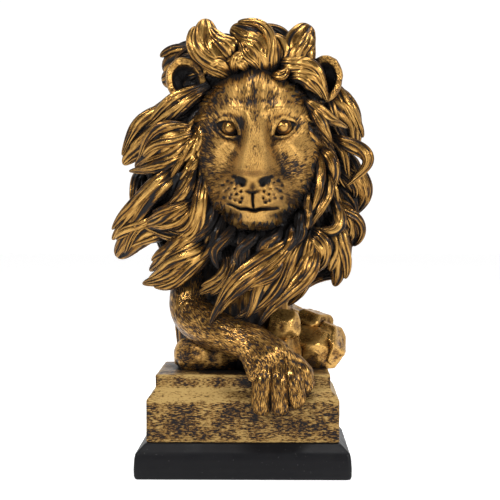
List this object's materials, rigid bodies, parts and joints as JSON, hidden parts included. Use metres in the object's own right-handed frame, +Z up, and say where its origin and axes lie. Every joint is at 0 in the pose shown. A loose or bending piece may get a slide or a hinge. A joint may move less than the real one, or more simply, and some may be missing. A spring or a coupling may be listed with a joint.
{
  "type": "lion head statue",
  "caption": "Free-standing lion head with a full mane and one foreleg that hangs over the front of a stepped block on a low plinth.",
  "frame": {"origin": "centre of the plinth's underside", "axes": "+Z up, -Y the way the lion looks, +X to the right of someone who faces it"},
  "size_m": [0.1865, 0.1479, 0.3171],
  "materials": {
    "antique_gold": "cast resin, gold paint rubbed over a black ground, satin gloss on the raised parts",
    "black_base": "cast resin painted satin black"
  },
  "bodies": {
    "root": {"lion_casting": "antique_gold", "plinth": "black_base"}
  },
  "joints": []
}
